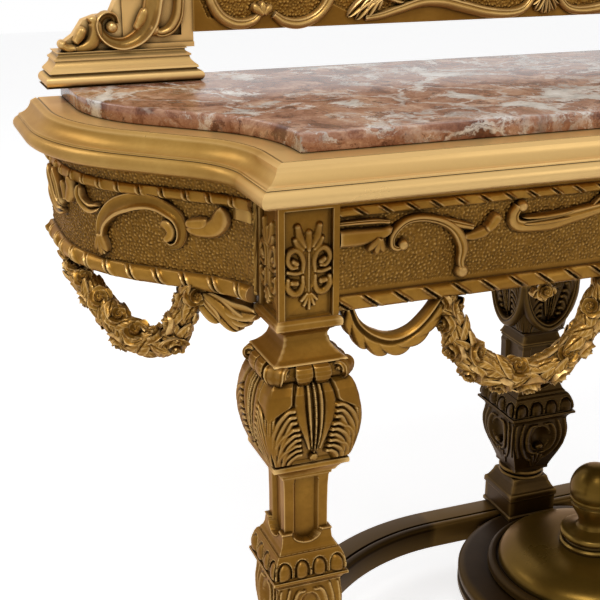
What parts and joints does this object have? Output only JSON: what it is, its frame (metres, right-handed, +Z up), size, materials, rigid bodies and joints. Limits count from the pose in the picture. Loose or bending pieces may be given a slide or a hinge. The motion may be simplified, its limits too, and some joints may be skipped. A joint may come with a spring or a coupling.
{
  "type": "pier table",
  "caption": "Carved and gilded pier table with a shaped marble top, square baluster legs, garlands, a curved stretcher with a dome, and a low crest at the wall.",
  "frame": {"origin": "on the floor, under the middle of the bounding box", "axes": "+X to the right seen from the front, along the length; +Y to the wall; +Z up"},
  "size_m": [1.724, 0.567, 1.09],
  "materials": {
    "gilt_wood": "water gilding on carved wood, satin, rubbed bright on the high places and toned dark brown in the hollows",
    "marble": "polished red-brown marble with pale veins",
    "plain_wood": "plain sawn and planed softwood, unfinished and darkened with age",
    "steel": "plain slotted wood screws"
  },
  "bodies": {
    "root": {"apron_back": "plain_wood", "apron_front": "gilt_wood", "apron_left": "gilt_wood", "apron_right": "gilt_wood", "bearer_left": "plain_wood", "bearer_right": "plain_wood", "board_screws": "steel", "bracket_left": "gilt_wood", "bracket_right": "gilt_wood", "crest_cap": "gilt_wood", "crest_carving": "gilt_wood", "crest_rail": "gilt_wood", "cross_rail_left": "plain_wood", "cross_rail_right": "plain_wood", "dome": "gilt_wood", "dome_ring": "gilt_wood", "finial": "gilt_wood", "foot_front_left": "gilt_wood", "foot_front_right": "gilt_wood", "foot_rear": "gilt_wood", "front_carving_left": "gilt_wood", "front_carving_right": "gilt_wood", "leaf_swag_centre": "gilt_wood", "leaf_swag_front_left": "gilt_wood", "leaf_swag_front_right": "gilt_wood", "leaf_swag_left": "gilt_wood", "leaf_swag_right": "gilt_wood", "leg_front_left": "gilt_wood", "leg_front_right": "gilt_wood", "leg_panel_carvings": "gilt_wood", "leg_rear": "gilt_wood", "marble_top": "marble", "plinth_left": "gilt_wood", "plinth_right": "gilt_wood", "rear_batten": "plain_wood", "rear_block_left": "plain_wood", "rear_block_right": "plain_wood", "rope_front": "gilt_wood", "rope_left": "gilt_wood", "rope_right": "gilt_wood", "rose_garland_front_left": "gilt_wood", "rose_garland_front_right": "gilt_wood", "rose_garland_left": "gilt_wood", "rose_garland_right": "gilt_wood", "side_carving_left": "gilt_wood", "side_carving_right": "gilt_wood", "stile_left": "gilt_wood", "stile_right": "gilt_wood", "stretcher_arm_left": "gilt_wood", "stretcher_arm_right": "gilt_wood", "stretcher_dowels": "plain_wood", "stretcher_platform": "gilt_wood", "stretcher_rail": "gilt_wood", "surround_front": "gilt_wood", "surround_left": "gilt_wood", "surround_right": "gilt_wood", "top_board": "plain_wood", "twist_front": "gilt_wood", "twist_left": "gilt_wood", "twist_right": "gilt_wood"}
  },
  "joints": []
}
